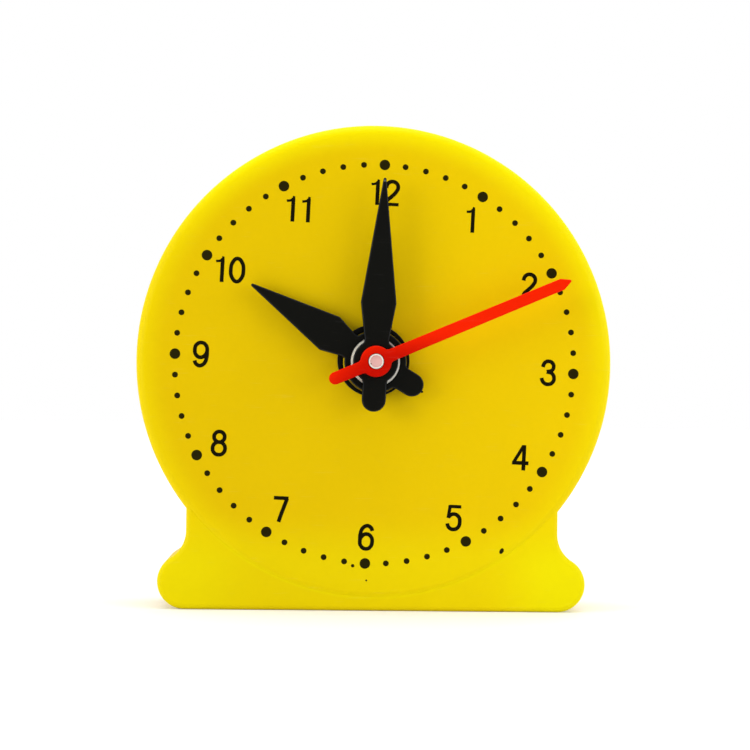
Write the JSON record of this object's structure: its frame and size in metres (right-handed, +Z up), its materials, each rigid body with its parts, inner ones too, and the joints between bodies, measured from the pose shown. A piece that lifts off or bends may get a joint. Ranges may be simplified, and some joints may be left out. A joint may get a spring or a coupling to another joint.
{
  "type": "teaching clock model",
  "caption": "Free-standing teaching clock: round dial on a moulded base, hour, minute and second hands on nested arbors, linked by an open gear train with a knob behind.",
  "frame": {"origin": "centre of the base's underside, under the hub and halfway through the moulding's depth", "axes": "+Z up, the dial faces -Y, +X is to the right of someone who reads the dial"},
  "size_m": [0.1, 0.0368, 0.1022],
  "materials": {
    "yellow_plastic": "satin moulded plastic, slightly translucent",
    "black_plastic": "satin moulded plastic with faint scuffs",
    "red_plastic": "satin moulded plastic",
    "white_plastic": "satin moulded plastic",
    "steel": "plain bright steel"
  },
  "bodies": {
    "housing": {"front_shell": "yellow_plastic", "boss_ring": "black_plastic", "hour_washer": "steel", "seconds_axle_pin": "steel", "motion_axle_pin": "steel", "gear_bridge": "white_plastic", "bridge_screw_1": "steel", "bridge_screw_2": "steel", "bridge_screw_3": "steel", "bridge_screw_4": "steel", "knob_washer": "steel"},
    "hour_group": {"hour_wheel": "white_plastic", "hour_hand": "black_plastic"},
    "minute_group": {"minute_wheel": "white_plastic", "minute_hand": "black_plastic"},
    "second_group": {"second_arbor": "white_plastic", "second_hand": "red_plastic", "knob": "black_plastic"},
    "seconds_gear": {"seconds_wheel": "white_plastic"},
    "motion_gear": {"motion_wheel": "white_plastic"}
  },
  "joints": [
    {"name": "minute_turn", "type": "hinge", "parent": "housing", "child": "minute_group", "pos_m": [0, 0, 0.0522], "axis": [0, 1, 0], "continuous": true},
    {"name": "hour_turn", "type": "hinge", "parent": "housing", "child": "hour_group", "pos_m": [0, 0, 0.0522], "axis": [0, 1, 0], "continuous": true},
    {"name": "second_turn", "type": "hinge", "parent": "housing", "child": "second_group", "pos_m": [0, 0, 0.0522], "axis": [0, 1, 0], "continuous": true},
    {"name": "seconds_gear_turn", "type": "hinge", "parent": "housing", "child": "seconds_gear", "pos_m": [0, 0, 0.0726], "axis": [0, 1, 0], "continuous": true},
    {"name": "motion_gear_turn", "type": "hinge", "parent": "housing", "child": "motion_gear", "pos_m": [0, 0, 0.0302], "axis": [0, 1, 0], "continuous": true}
  ],
  "couplings": [
    {"joint": "hour_turn", "follows": "minute_turn", "ratio": 0.083333},
    {"joint": "second_turn", "follows": "minute_turn", "ratio": 60},
    {"joint": "seconds_gear_turn", "follows": "minute_turn", "ratio": -8},
    {"joint": "motion_gear_turn", "follows": "minute_turn", "ratio": -0.33333}
  ]
}
